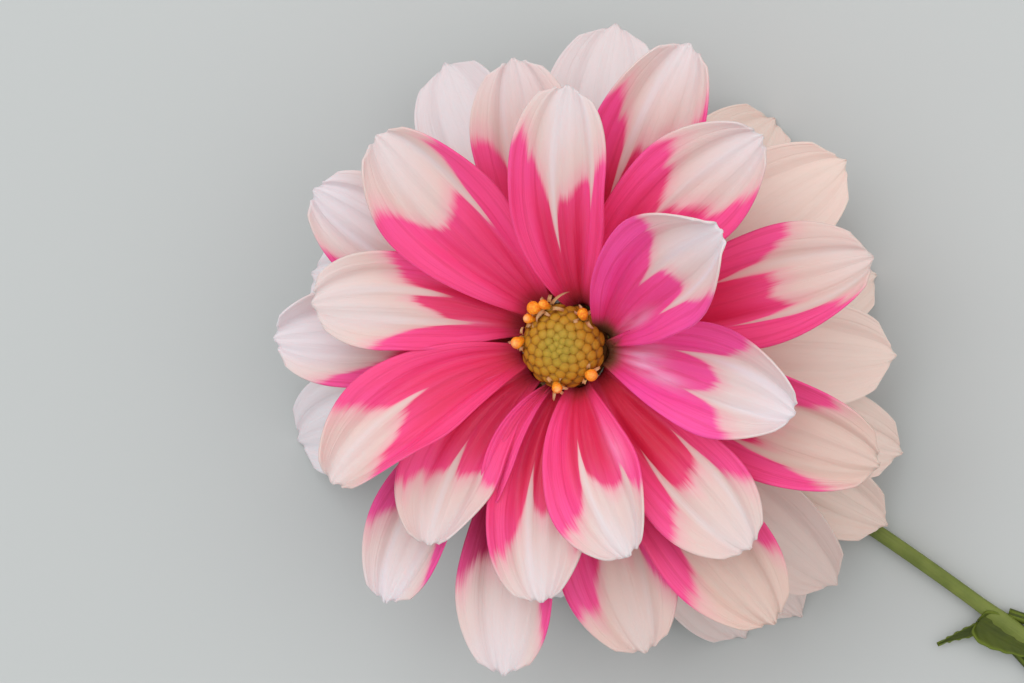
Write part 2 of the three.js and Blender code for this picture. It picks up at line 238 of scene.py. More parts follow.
def petalPaint(name, back):
    # Pink where the blush value is above 0, feathered along the veins; the back is paler.
    paint = Paint(name, {"Roughness": 0.5, "Subsurface Weight": 0.25, "Subsurface Scale": 0.001,
                         "Subsurface Radius": (1.0, 0.4, 0.4), "Specular IOR Level": 0.35})
    along, across = paint.uvAxes()
    toneAndShade = paint.value("toneAndShade")
    blush = paint.value("blush")
    centre = paint.node("ShaderNodeMath", {"operation": "ABSOLUTE"}, {0: across * 2.0 - 1.0})
    streaks = paint.noise(paint.point(along * 2.4, across * 8.0, toneAndShade * 9.0), 1.0, 3.0, 0.55)
    fine = paint.noise(paint.point(along * 3.0, across * 75.0, toneAndShade * 5.0), 1.0, 2.0, 0.5)
    cloud = paint.noise(paint.point(along * 4.0, across * 3.0, toneAndShade * 7.0), 1.0, 2.0, 0.5)
    field = blush + (streaks - 0.5) * 0.14 + (fine - 0.5) * 0.05 + (cloud - 0.5) * 0.10
    mask = paint.step(field, -0.034, 0.034)
    ripple = paint.node("ShaderNodeMath", {"operation": "SINE"}, {0: across * 50.0 + streaks * 7.0})
    veins = paint.step(ripple, 0.55, 1.0)
    # Painted shade: the nearer a petal's value is to the cream end, the darker its white, for the shade away
    # from the key lamp.
    white = paint.mix(toneAndShade, petalTint["chalk"], petalTint["shadedCream"])
    white = paint.mix(paint.step(toneAndShade, 1.0, 2.0), white, petalTint["peach"])
    white = paint.mix(paint.step(blush + cloud * 0.15, -0.30, 0.06) * 0.60, white, petalTint["beige"])
    white = paint.mix(paint.step(field, -0.11, 0.0) * 0.42, white, (0.86, 0.30, 0.40))
    white = paint.mix(paint.step(fine, 0.45, 0.75) * 0.14, white, (0.72, 0.54, 0.52))
    # The magenta blend is partly the petal's own hue and partly a painted cool cast on petals facing the key
    # lamp.
    pink = paint.mix(paint.value("magenta"), petalTint["pink"], petalTint["magenta"])
    pink = paint.mix(paint.step(field, 0.22, 0.0) * 0.40, pink, (0.90, 0.095, 0.36))
    # The crimson middle strip is partly the petal's own colour and partly painted shade.
    heart = paint.step(centre, 0.60, 0.28) * paint.step(along, 0.82, 0.40) * paint.value("heart")
    pink = paint.mix(heart * 0.9, pink, petalTint["crimson"])
    pink = paint.mix(paint.step(fine, 0.45, 0.75) * 0.24, pink, (0.66, 0.014, 0.085))
    pink = paint.mix(paint.step(cloud, 0.40, 0.8) * 0.20, pink, (0.92, 0.10, 0.25))
    pink = paint.mix(veins * 0.16, pink, (0.50, 0.006, 0.045))
    # Crimson towards the foot: partly the petal's own colour, partly painted shade in the crevices between
    # petals.
    pink = paint.mix(paint.step(along, 0.30, 0.02) * 0.65, pink, petalTint["crimson"])
    # Painted shade: next to the disc, the foot of a petal with much magenta turns a near-black green.
    pink = paint.mix(paint.step(along, 0.15, 0.04) * paint.value("magenta") * 0.9, pink, petalTint["greenClawShade"])
    pink = paint.mix(paint.value("lilacAndShadow") * paint.step(streaks, 0.25, 0.6), pink, (0.88, 0.50, 0.70))
    # Painted shadow: where the patch value is below 0 the pink darkens, for the shade cast by the petals above.
    pink = paint.mix(paint.value("lilacAndShadow") * -1.0, pink, (0.30, 0.010, 0.055))
    if back:
        pink = paint.mix(0.35, pink, (0.86, 0.45, 0.52))
        white = paint.mix(0.25, white, (0.78, 0.70, 0.62))
    paint.wire("Base Color", paint.mix(mask, white, pink))
    paint.wire("Roughness", paint.step(cloud, 0.2, 0.8, 0.44, 0.60))
    paint.bump(streaks * 0.5 + fine * 0.22 - veins * 0.14, 0.3, 0.8)
    return paint.material


# How far each ring of petals stands out from the receptacle's side, and how far down it, as a share.
rings = {
    "innerHigh": (0.2, 0.17), "innerLow": (0.4, 0.27), "middleHigh": (0.8, 0.37), "middleLow": (0.9, 0.46),
    "outerHigh": (1.0, 0.56), "outerLow": (1.1, 0.66), "outerDeep": (0.9, 0.75),
}

# Each petal's form: ring, azimuth of its foot, heading, length, width, rise at the base and at the tip, cup of
# the left and right half, roll, sweep. A tip rise of None droops until the petal touches the surface.
# Its blush: how far out the pink runs, at even steps from the left edge across to the right edge.
# Its streaks: where across it a pale line runs back into the pink, and how far out that line starts.
# Its tone and shade: 0 for a cool white, 1 for a warm white darkened as painted shade, and 2 for peach. Its
# magenta: 0 for pink, 1 for magenta, partly its own hue and partly a painted cool cast from the key lamp. How
# crimson its middle strip is, partly its own colour and partly painted shade.
outerBlush = (0.45, 0.40, 0.35, 0.40, 0.45)
petals = {
    "inner_petal": [
        (("innerHigh", 14, 38, 47.5, 21, 64, 42, 48, 44, 0, -20),
         (0.76, 0.76, 0.72, 0.60, 0.63, 0.67, 0.64, 0.76, 0.84), ((0.12, 0.46), (-0.50, 0.45)), 0.1, 0.9, 0.3),
        (("innerLow", 57, 43, 49, 20, 50, 8, 36, 34, 4, -22),
         (0.73, 0.74, 0.70, 0.60, 0.60, 0.66, 0.66, 0.82, 0.86), ((0.10, 0.49),), 0.3, 0.3, 0.6),
        (("innerHigh", 70, 89, 45, 18.5, 60, 12, 40, 40, 0, -22),
         (0.80, 0.80, 0.74, 0.58, 0.56, 0.60, 0.64, 0.74, 0.77), ((0.12, 0.33), (-0.62, 0.54)), 0.3, 0.3, 0.6),
        (("innerHigh", 121, 131, 44.5, 21, 50, 10, 30, 34, -4, 0),
         (0.77, 0.75, 0.67, 0.55, 0.58, 0.62, 0.66, 0.83, 0.86), ((-0.42, 0.40),), 0.4, 0.3, 0.4),
        (("innerLow", 153, 173, 39.5, 18.5, 46, 8, 34, 36, 0, 30),
         (0.74, 0.70, 0.48, 0.42, 0.56, 0.54, 0.62, 0.67, 0.69), ((0.36, 0.22), (-0.20, 0.36)), 0.5, 0.3, 0.6),
        (("innerHigh", 195, 214, 42.5, 19, 48, 10, 64, 36, 4, 38),
         (0.86, 0.85, 0.80, 0.68, 0.60, 0.61, 0.70, 0.77, 0.80), ((-0.15, 0.44),), 0.5, 0.2, 0.5),
        (("innerLow", 222, 240, 37.5, 17, 46, 8, 36, 40, 0, 48),
         (0.64, 0.62, 0.61, 0.66, 0.67, 0.67, 0.70, 0.76, 0.78), ((0.02, 0.46), (0.60, 0.54)), 0.4, 0.2, 0.6),
        (("innerHigh", 250, 245.5, 26, 5.2, 53, 10, 34, 34, 0, 46),
         (1.20, 1.20, 1.15, 1.10, 1.10, 1.05, 1.00, 1.00, 1.05), (), 0.3, 0.4, 0.5),
        (("innerLow", 264, 267, 39.5, 18, 46, 2, 36, 36, 0, 24),
         (0.76, 0.74, 0.66, 0.62, 0.60, 0.62, 0.74, 0.79, 0.80), ((-0.15, 0.43),), 0.3, 0.1, 0.8),
        (("innerHigh", 290, 290, 35.5, 18, 58, 8, 38, 38, 0, 22),
         (0.74, 0.71, 0.63, 0.68, 0.58, 0.61, 0.72, 0.78, 0.79), ((-0.18, 0.40), (0.58, 0.55)), 0.3, 0.3, 0.8),
        (("innerLow", 320, 314, 43.5, 19, 44, 4, 36, 36, 0, 0),
         (0.80, 0.78, 0.68, 0.62, 0.65, 0.62, 0.68, 0.76, 0.79), ((0.40, 0.44), (-0.34, 0.40)), 0.5, 0.2, 0.95),
        (("innerHigh", 350, 345, 40.5, 19, 54, 6, 40, 36, 0, -22),
         (0.73, 0.72, 0.68, 0.60, 0.64, 0.60, 0.69, 0.73, 0.77), ((0.33, 0.40), (-0.32, 0.50)), 0.1, 0.9, 0.2),
    ],
    "middle_petal": [
        (("middleHigh", 16, 16, 50.5, 20, 37, 0, 30, 34, 0, 0),
         (0.75, 0.74, 0.67, 0.64, 0.67, 0.66, 0.72, 0.86, 0.92), ((0.33, 0.45), (-0.50, 0.45)), 0.7, 0.3, 0.7),
        (("middleHigh", 66, 66, 51, 20, 38, 0, 34, 34, 0, 0),
         (0.76, 0.77, 0.70, 0.58, 0.62, 0.66, 0.67, 0.77, 0.84), ((0.26, 0.41),), 0.3, 0.4, 0.9),
        (("middleHigh", 99, 99, 44, 19, 36, 0, 32, 32, 0, 0),
         (0.71, 0.69, 0.65, 0.60, 0.60, 0.60, 0.62, 0.68, 0.70), ((0.35, 0.48),), 0.4, 0.2, 0.7),
        (("middleHigh", 148, 148, 44.5, 19, 32, -4, 30, 30, 0, 0),
         (0.84, 0.72, 0.62, 0.54, 0.54, 0.54, 0.58, 0.66, 0.72), ((0.35, 0.45),), 0.1, 0.6, 0.7),
        (("middleHigh", 178, 179, 44, 19, 29, -6, 32, 32, 0, 8),
         (0.80, 0.74, 0.58, 0.50, 0.50, 0.52, 0.54, 0.58, 0.62), (), 0.1, 0.6, 0.7),
        (("middleLow", 230, 236, 48.5, 16.5, 32, -4, 60, 34, 0, 34),
         (0.88, 0.78, 0.66, 0.64, 0.66, 0.64, 0.68, 0.72, 0.74), ((0.36, 0.56), (-0.30, 0.54)), 0.1, 0.9, 0.7),
        (("middleHigh", 258, 260, 51.5, 18, 28, -8, 40, 40, 0, 16),
         (0.86, 0.76, 0.64, 0.60, 0.60, 0.61, 0.62, 0.66, 0.70), (), 0.25, 0.5, 0.9),
        (("middleLow", 286, 285, 48, 20, 29, -9, 32, 32, 0, 8),
         (0.82, 0.78, 0.70, 0.60, 0.58, 0.62, 0.74, 0.80, 0.82), ((0.36, 0.50),), 0.7, 0.5, 0.8),
        (("middleHigh", 308, 308, 53.5, 20, 31, -9, 32, 34, 0, 0),
         (0.82, 0.76, 0.66, 0.58, 0.60, 0.60, 0.70, 0.76, 0.80), ((-0.40, 0.50),), 1.0, 0.2, 0.8),
        (("middleHigh", 340, 340, 52, 20, 33, -6, 34, 34, 0, 0),
         (0.80, 0.78, 0.70, 0.60, 0.61, 0.60, 0.70, 0.82, 0.86), ((0.32, 0.50), (-0.45, 0.47)), 1.0, 0.3, 0.7),
    ],
    "outer_petal": [
        (("outerLow", 13, 13, 53.5, 18, 8, None, 30, 30, 0, 0), outerBlush, (), 2.0, 0.2, 0.5),
        (("outerHigh", 34, 34, 51, 20, 15, -26, 30, 30, 0, 0),
         (0.50, 0.44, 0.40, 0.46, 0.56), (), 1.9, 0.2, 0.5),
        (("outerLow", 50, 50, 53, 18, 10, None, 30, 30, 0, 0), outerBlush, (), 1.6, 0.2, 0.5),
        (("outerHigh", 83, 83, 51, 20, 15, -30, 30, 30, 0, 0), outerBlush, (), 0.35, 0.2, 0.5),
        (("outerHigh", 116, 116, 50.5, 19, 14, -35, 30, 30, 0, 0), outerBlush, (), 0.25, 0.2, 0.5),
        (("outerLow", 142, 142, 49, 18, 5, None, 30, 30, 0, 0), outerBlush, (), 0.2, 0.4, 0.5),
        (("outerHigh", 166, 166, 47, 19, 8, -40, 30, 30, 0, 0), outerBlush, (), 0.15, 0.4, 0.5),
        (("outerLow", 199, 199, 57, 19, 8, None, 30, 30, 0, 0), outerBlush, (), 0.1, 0.4, 0.5),
        (("outerLow", 258, 258, 48, 18, 4, None, 30, 30, 0, 0), outerBlush, (), 0.2, 0.3, 0.5),
        (("outerLow", 280, 280, 55, 18, 8, None, 30, 30, 0, 0), outerBlush, (), 0.4, 0.3, 0.5),
        (("outerLow", 298, 298, 60, 17, 8, None, 30, 30, 0, 0), outerBlush, (), 0.6, 0.3, 0.5),
        (("outerDeep", 308, 308, 61, 14, 4, None, 30, 30, 0, 0), outerBlush, (), 0.7, 0.3, 0.5),
        (("outerHigh", 317, 317, 58, 18, 12, -34, 30, 30, 0, 0), outerBlush, (), 0.8, 0.3, 0.5),
        (("outerLow", 329, 329, 60, 16, 6, -38, 30, 30, 0, 0), outerBlush, (), 1.5, 0.2, 0.5),
        (("outerLow", 341, 341, 57, 17, 9, -40, 30, 30, 0, 0), outerBlush, (), 1.7, 0.2, 0.5),
        (("outerHigh", 358, 358, 50.5, 19, 13, -30, 30, 30, 0, 0),
         (0.50, 0.44, 0.38, 0.42, 0.46), (), 1.9, 0.2, 0.5),
    ],
}

# Lilac patches in the pink: how far along and across the petal, their spread each way, and their strength,
# which is below 0 for a patch of painted shadow cast by the petals above.
lilacAndShadow = {
    "middle_petal_07": [(0.48, -0.60, 0.24, 0.55, -0.80)],
    "middle_petal_06": [(0.50, -0.60, 0.20, 0.50, -0.35)],
    "inner_petal_12": [(0.25, 0.02, 0.11, 0.36, 0.85), (0.38, -0.28, 0.12, 0.14, 0.55)],
    "inner_petal_01": [(0.27, -0.36, 0.13, 0.15, 0.60)],
    "inner_petal_05": [(0.27, 0.36, 0.10, 0.07, 0.45)],
    "inner_petal_10": [(0.46, 0.62, 0.15, 0.18, 0.40)],
    "inner_petal_11": [(0.28, 0.80, 0.11, 0.16, 0.45)],
}

petalGrid = {"rows": 64, "columns": 36, "thickness": 0.36, "claw": 0.24, "widest": 0.66}
streakWidth = 0.055
droop = {"steepest": -89.0, "trials": 22}

# How pointed each kind's end is, from 0 to 1, how far its corners draw back and how deep its notches are, as
# shares of its length, and how deep its grooves are.
petalEnds = {
    "inner_petal": {"taper": 0.960, "point": 0.040, "notch": 0.007, "relief": 1.25},
    "middle_petal": {"taper": 0.970, "point": 0.050, "notch": 0.005, "relief": 1.30},
    "outer_petal": {"taper": 0.990, "point": 0.085, "notch": 0.002, "relief": 0.85},
}


def petalOutline(s, taper):
    # half width as a share of the widest: a claw, a sine flare to the widest, then an ogival fall
    widest = petalGrid["widest"]
    claw = petalGrid["claw"]
    flare = claw + (1 - claw) * np.sin(np.pi / 2 * np.clip(s / widest, 0, 1)) ** 1.25
    fall = np.clip(taper * (s - widest) / (1 - widest), 0, 1)
    return np.where(s < widest, flare, (1 - fall ** 2) ** 0.62)


def bladePoints(start, heading, length, width, rise, tipRise, cupLeft, cupRight, roll, sweep,
                outline, s, t, lift):
    # The midrib runs out from start; its rise falls from rise to tipRise as (1 - s)^1.4 and its heading turns
    # by sweep. Across it each section is a circular arc, b sin(ct)/c sideways and b (1 - cos(ct))/c up, with b
    # the half width and c the cup, which closes to 75 degrees at the claw. lift is a height along the sheet's
    # normal.
    steps = 240
    fine = np.linspace(0, 1, steps + 1)
    climb = np.radians(tipRise + (rise - tipRise) * (1 - fine) ** 1.4)
    course = np.radians(heading + sweep * (fine - 0.5))
    along = np.stack([np.cos(course) * np.cos(climb), np.sin(course) * np.cos(climb), np.sin(climb)], -1)
    travel = np.cumsum((along[1:] + along[:-1]) / 2, 0)
    middle = start + np.concatenate([np.zeros((1, 3)), travel]) * length / steps
    along, middle = (np.stack([np.interp(s, fine, table[:, k]) for k in range(3)], -1)
                     for table in (along, middle))
    side = np.stack([-along[..., 1], along[..., 0], np.zeros_like(s)], -1)
    side /= np.linalg.norm(side, axis=-1, keepdims=True)
    normal = np.cross(along, side)
    tilt = np.radians(roll)
    side, normal = side * np.cos(tilt) + normal * np.sin(tilt), normal * np.cos(tilt) - side * np.sin(tilt)
    cup = np.radians(np.where(t > 0, cupLeft, cupRight))
    cup = cup + (np.radians(75) - cup) * np.clip(1 - s / 0.4, 0, 1) ** 2
    half = width / 2 * outline(s)
    across = half * np.sin(cup * t) / cup
    up = half * (1 - np.cos(cup * t)) / cup
    facing = normal * np.cos(cup * t)[..., None] - side * np.sin(cup * t)[..., None]
    return middle + side * across[..., None] + normal * up[..., None] + facing * lift[..., None]


def petalRelief(s, t, width, phase):
    # Two grooves part a middle strip from the side lobes, a finer one runs down the middle, shallow pleats lie
    # between them, and the edges wave a little. Each groove is a Gaussian across the petal.
    sway = 0.05 * np.sin(2 * np.pi * (s + phase[0]))
    grooves = sum(-deep * np.exp(-((t - at - sway) / wide) ** 2)
                  for at, deep, wide in ((0.40, 1.0, 0.14), (-0.42, 1.0, 0.14), (0.02, 0.35, 0.08)))
    pleats = 0.06 * np.cos(np.pi * 5.2 * t + 6.3 * phase[3])
    shift = np.where(t > 0, phase[1], phase[2])
    wave = 0.045 * width * np.abs(t) ** 3 * np.sin(2 * np.pi * (1.3 * s + shift))
    body = width / 20 * smooth(s, 0.03, 0.25) * (1 - 0.45 * smooth(s, 0.6, 1.0))
    return (grooves + pleats) * body + wave * smooth(s, 0.3, 0.7)


def petalPoints(form, end, phase):
    # the petal's grid of points, with the share along it and the share across it that each stands at
    ring, foot, heading, length, width, rise, tipRise, cupLeft, cupRight, roll, sweep = form
    out, down = rings[ring]
    start = bloomPoint(bloom["side"] + out, foot, -down * bloom["depth"])
    s, t = np.meshgrid(np.linspace(0, 1, petalGrid["rows"] + 1), np.linspace(-1, 1, petalGrid["columns"] + 1),
                       indexing="ij")
    # the end is rounded and cut by two small notches beside the middle tooth
    notches = ((0.30 + 0.2 * phase[3], 1 + phase[4]), (-0.30 - 0.2 * phase[4], 1 + phase[3]))
    notch = sum(end["notch"] * depth * np.exp(-((t - at) / 0.13) ** 2) for at, depth in notches)
    reach = 1 - end["point"] * np.abs(t) ** 1.8 - notch
    sEnd = s * (1 - (1 - reach) * smooth(s, 0.35, 1.0))
    lift = end["relief"] * petalRelief(sEnd, t, width, phase)

    def shape(tip):
        return bladePoints(start, heading + bloom["turn"], length, width, rise, tip, cupLeft, cupRight, roll,
                           sweep, lambda x: petalOutline(x, end["taper"]), sEnd, t, lift)

    if tipRise is None:
        low, high = droop["steepest"], 0.0
        for _ in range(droop["trials"]):
            tipRise = (low + high) / 2
            if shape(tipRise)[..., 2].min() < petalGrid["thickness"]:
                low = tipRise
            else:
                high = tipRise
    return shape(tipRise), sEnd, t


def makePetal(name, kind, row, materials):
    # The blush value is where the pink ends across the petal, less the share along it, so it is 0 at the pink's
    # margin. Each streak is a Gaussian notch in that margin, and each lilac patch and each patch of painted
    # shadow a
    # Gaussian spot.
    form, blush, streaks, toneAndShade, magenta, heart = row
    points, s, t = petalPoints(form, petalEnds[kind], chance.uniform(0, 1, 6))
    edge = np.interp(-t, np.linspace(-1, 1, len(blush)), blush)
    for across, start in streaks:
        edge = edge - (edge - start) * np.exp(-((t - across) / streakWidth) ** 2)
    # above 0 in a lilac patch and below 0 in a patch of painted shadow
    pale = sum(strength * np.exp(-((s - along) / long) ** 2 - ((t - across) / wide) ** 2)
               for along, across, long, wide, strength in lilacAndShadow.get(name, [])) + 0 * s
    values = {"blush": (edge - s).ravel(), "lilacAndShadow": pale.ravel(), "toneAndShade": toneAndShade, "magenta": magenta,
              "heart": heart}
    piece = buildPiece(name.replace("petal", "ray"), points, gridFaces(*s.shape, False, False), materials,
                       values, np.stack([s, (t + 1) / 2], -1))
    shell = piece.modifiers.new("thickness", "SOLIDIFY")
    shell.thickness = petalGrid["thickness"] * mm
    shell.offset = -1
    shell.material_offset = 1
    return piece


petalFront = petalPaint("petal front", False)
petalBack = petalPaint("petal back", True)
petalSlots = {"inner_petal": "petal_inner", "middle_petal": "petal_middle", "outer_petal": "petal_outer"}
for kind, rows in petals.items():
    for k, row in enumerate(rows):
        node = f"{kind}_{k + 1:02d}"
        place(makePetal(node, kind, row, (petalFront, petalBack)), petalSlots[kind], node)
print("petals made:", sum(len(rows) for rows in petals.values()))


disc = {"radius": 6.4, "height": 4.7, "foot": 0.4, "buds": 84, "rows": 7, "sides": 12}
goldenAngle = 137.508


def discPaint():
    # green and smooth in the middle, ochre at the rim, brown in the seams between the buds
    paint = Paint("disc buds", {"Roughness": 0.5, "Specular IOR Level": 0.2, "Subsurface Weight": 0.2,
                                "Subsurface Scale": 0.0008, "Subsurface Radius": (1.0, 0.6, 0.2)})
    ripe = paint.value("ripe")
    crown = paint.value("crown")
    grain = paint.noise(paint.objectPoint(), 1100.0)
    colour = paint.mix(paint.step(ripe, 0.05, 0.45), (0.34, 0.24, 0.022), (0.47, 0.22, 0.014))
    colour = paint.mix(paint.step(ripe, 0.6, 1.0) * 0.7, colour, (0.42, 0.15, 0.008))
    colour = paint.mix(paint.step(grain, 0.35, 0.7) * 0.30, colour, (0.54, 0.33, 0.035))
    colour = paint.mix(paint.step(crown, 0.90, 1.0) * 0.30, colour, (0.60, 0.40, 0.05))
    colour = paint.mix(paint.step(crown, 0.88, 0.70) * (0.20 + ripe * 0.7), colour, (0.20, 0.060, 0.004))
    paint.wire("Base Color", colour)
    paint.bump(grain, 0.06, 0.4)
    return paint.material


def domeFrame(angle, azimuth):
    # a point on the disc's dome, a quarter ellipse turned about the axis, and its outward direction
    radius = disc["radius"] * np.sin(angle)
    height = disc["foot"] + disc["height"] * np.cos(angle)
    spot = bloomPoint(radius, azimuth, height)
    turn = np.radians(azimuth + bloom["turn"])
    facing = np.stack([np.sin(angle) * np.cos(turn) / disc["radius"],
                       np.sin(angle) * np.sin(turn) / disc["radius"], np.cos(angle) / disc["height"]], -1)
    return spot, facing / np.linalg.norm(facing, axis=-1, keepdims=True)


def makeDisc(material):
    # Buds in a golden-angle spiral, each a flat-topped dome that swells into its neighbours, so that the seams
    # between them are polygons. A bud's size is a share of the mean distance to its four nearest.
    order = (np.arange(disc["buds"]) + 0.5) / disc["buds"]
    angle = np.arccos(1 - 1.02 * order ** 1.35)
    spot, facing = domeFrame(angle, np.arange(disc["buds"]) * goldenAngle)
    apart = np.linalg.norm(spot[:, None] - spot[None], axis=-1)
    pitch = np.sort(apart, axis=1)[:, 1:5].mean(1) * chance.uniform(0.95, 1.05, disc["buds"])
    size = (0.70 * pitch)[:, None, None]
    tall = (pitch * (0.10 + 0.40 * order))[:, None, None]
    ring = np.linspace(0, 1, disc["rows"] + 1)[None, :, None] ** 0.7
    turn = np.linspace(0, 2 * np.pi, disc["sides"], endpoint=False)[None, None, :]
    radius = size * np.sqrt(1 - (ring * 0.99) ** 4) * (1 + 0.05 * np.cos(5 * turn))
    height = tall * ring - 0.6 * (1 - ring)
    lead = np.cross(facing, [0.3, 0.2, 1.0])
    lead /= np.linalg.norm(lead, axis=-1, keepdims=True)
    other = np.cross(facing, lead)
    points = (spot[:, None, None] + lead[:, None, None] * (radius * np.cos(turn))[..., None]
              + other[:, None, None] * (radius * np.sin(turn))[..., None]
              + facing[:, None, None] * (height * np.ones_like(turn))[..., None])
    count = (disc["rows"] + 1) * disc["sides"]
    one = rodFaces(disc["rows"] + 1, disc["sides"])
    faces = [[v + k * count for v in face] for k in range(disc["buds"]) for face in one]
    crown = np.tile(np.repeat(ring.ravel(), disc["sides"]), disc["buds"])
    values = {"ripe": np.repeat(order, count), "crown": crown}
    return buildPiece("disc_buds", points, faces, [material], values)


def makeDiscBed(material):
    # the dome that the buds stand on, a quarter ellipse turned about the axis and closed underneath
    sides = 40
    angle = np.linspace(0.03, 1, 14) * np.pi / 2
    turn = np.linspace(0, 2 * np.pi, sides, endpoint=False)
    radius = np.append(disc["radius"] * np.sin(angle), [6.3, 6.0])[::-1]
    height = np.append(disc["foot"] - 0.1 + disc["height"] * np.cos(angle), [-0.1, -0.3])[::-1]
    points = bloomPoint(radius[:, None], np.degrees(turn)[None], height[:, None])
    return buildPiece("disc_bed", points, rodFaces(len(radius), sides), [material],
                      {"ripe": 0.9, "crown": 0.0})


discMaterial = discPaint()
place(makeDisc(discMaterial), "disc_buds", "disc")
place(makeDiscBed(discMaterial), "disc_buds", "disc")
print("disc made")


# Each open floret: which CAD floret it stands for, azimuth and radius of its head, the head's height, the
# anther's length and radius, how pale its tip is (partly its own pale colour and partly a painted highlight),
# the lobes' length and the azimuth that they curl towards.
florets = [
    (1, 57, 7.4, 5.6, 2.6, 0.95, 0.0, 2.2, 120), (2, 127, 8.5, 5.6, 2.6, 1.18, 0.0, 1.8, 150),
    (2, 114, 8.2, 5.2, 2.4, 0.86, 0.1, 4.6, 50), (3, 142, 7.8, 4.6, 2.2, 0.85, 0.6, 1.6, 200),
    (4, 178, 8.1, 4.6, 2.4, 1.05, 0.35, 2.4, 250), (5, 268, 7.7, 4.6, 2.0, 0.92, 0.4, 2.8, 330),
    (6, 320, 7.8, 5.0, 2.5, 1.08, 0.15, 2.3, 50),
]


def antherPaint():
    # two oranges in a fine grain, with a pale tip: partly its own colour, partly a painted highlight
    paint = Paint("anther", {"Roughness": 0.6, "Subsurface Weight": 0.2, "Subsurface Scale": 0.001,
                             "Subsurface Radius": (1.0, 0.5, 0.2)})
    grain = paint.noise(paint.objectPoint(), 2600.0, 3.0)
    colour = paint.mix(paint.step(grain, 0.35, 0.65), (0.92, 0.23, 0.005), (1.0, 0.42, 0.015))
    colour = paint.mix(paint.value("pale"), colour, (0.96, 0.60, 0.32))
    paint.wire("Base Color", colour)
    paint.bump(grain, 0.15, 0.7)
    return paint.material


def corollaPaint():
    # olive at the tube, buff out along the lobes, with brown flecks
    paint = Paint("floret lobes", {"Roughness": 0.55, "Subsurface Weight": 0.25, "Subsurface Scale": 0.001,
                                   "Subsurface Radius": (1.0, 0.6, 0.4)})
    grain = paint.noise(paint.objectPoint(), 1500.0)
    colour = paint.mix(paint.value("lobe"), (0.46, 0.27, 0.04), (0.66, 0.36, 0.22))
    paint.wire("Base Color", paint.mix(paint.step(grain, 0.4, 0.7) * 0.4, colour, (0.60, 0.28, 0.07)))
    return paint.material


def makeFloret(name, node, azimuth, radius, height, anther, size, pale, lobeLength, lobeTurn):
    # a tube that leans out, with a blunt anther column standing in it and ribbons curling off its mouth; the
    # column swells as a sine and ends in a quarter ellipse
    tubeRings, tubeSides, antherRings, antherSides = 9, 12, 14, 14
    foot = bloomPoint(6.9, azimuth, -0.2)
    head = bloomPoint(radius, azimuth, height)
    mouth = bloomPoint(radius - 1.1, azimuth - 6, height - anther)
    share = np.linspace(0, 1, tubeRings)[:, None]
    flare = size * (0.45 + 0.35 * smooth(share[:, 0], 0.35, 0.95))
    tube = rodPoints(foot + (mouth - foot) * share, flare, tubeSides)
    step = np.linspace(0, 1, antherRings)
    blunt = np.sqrt(np.clip(1 - np.clip(step - 0.6, 0, 1) ** 2 / 0.162, 0.03, 1))
    radii = size * (0.62 + 0.38 * np.sin(np.pi * step ** 1.5)) * blunt
    column = rodPoints(mouth + (head - mouth) * step[:, None], radii, antherSides)
    piece = buildPiece(f"anther_{name}", column, rodFaces(antherRings, antherSides), [antherMaterial],
                       {"pale": np.repeat(pale * smooth(step, 0.75, 1.0), antherSides)})
    place(piece, "floret_orange", node)
    points = [tube.reshape(-1, 3)]
    faces = rodFaces(tubeRings, tubeSides)
    lobe = [np.zeros(tube[..., 0].size)]
    s, t = np.meshgrid(np.linspace(0, 1, 13), np.linspace(-1, 1, 4), indexing="ij")
    for turn in lobeTurn + bloom["turn"] + np.array([-70, -15, 25, 80, 185]) + chance.uniform(-12, 12, 5):
        bend = chance.uniform(150, 290)
        reach = lobeLength * chance.uniform(0.7, 1.25)
        start = mouth + size * np.array([np.cos(np.radians(turn)), np.sin(np.radians(turn)), 0.2])
        ribbon = bladePoints(start, turn, reach, 0.85, 95, 95 - bend, 50, 50, chance.uniform(-40, 40),
                             chance.uniform(-120, 120), lambda x: 1 - 0.93 * x ** 1.6, s, t, 0 * s)
        offset = sum(len(p) for p in points)
        faces = faces + (gridFaces(*s.shape, False, False) + offset).tolist()
        points.append(ribbon.reshape(-1, 3))
        lobe.append(0.4 + 0.6 * s.ravel())
    piece = buildPiece(f"floret_{name}", np.concatenate(points), faces, [lobeMaterial],
                       {"lobe": np.concatenate(lobe)})
    place(piece, "floret_orange", node)


antherMaterial = antherPaint()
lobeMaterial = corollaPaint()
for k, (node, *row) in enumerate(florets):
    makeFloret(k + 1, f"disc_floret_{node}", *row)
print("open florets made:", len(florets))


def greenPaint(name, low, high, ridge, roughness, rim=None, margin=None):
    # two greens mottled together, with fine lines along the length, a rim colour past the far end and a margin
    # colour along the two edges
    paint = Paint(name, {"Roughness": roughness, "Specular IOR Level": 0.3, "Subsurface Weight": 0.12,
                         "Subsurface Scale": 0.001, "Subsurface Radius": (0.6, 1.0, 0.2)})
    along, across = paint.uvAxes()
    mottle = paint.noise(paint.objectPoint(), 220.0, 4.0)
    lines = paint.noise(paint.point(along * 2.0, across * ridge), 1.0, 3.0)
    colour = paint.mix(paint.step(mottle, 0.3, 0.7), low, high)
    colour = paint.mix(paint.step(lines, 0.45, 0.75) * 0.35, colour, tuple(0.6 * c for c in low))
    if rim:
        colour = paint.mix(paint.step(along, 0.55, 0.70), colour, rim)
    if margin:
        edge = paint.node("ShaderNodeMath", {"operation": "ABSOLUTE"}, {0: across * 2.0 - 1.0})
        colour = paint.mix(paint.step(edge, 0.70, 0.98) * 0.8, colour, margin)
    paint.wire("Base Color", colour)
    paint.wire("Roughness", paint.step(mottle, 0.2, 0.8, roughness - 0.08, roughness + 0.08))
    paint.bump(lines * 0.7 + mottle * 0.3, 0.12, 0.6)
    return paint.material


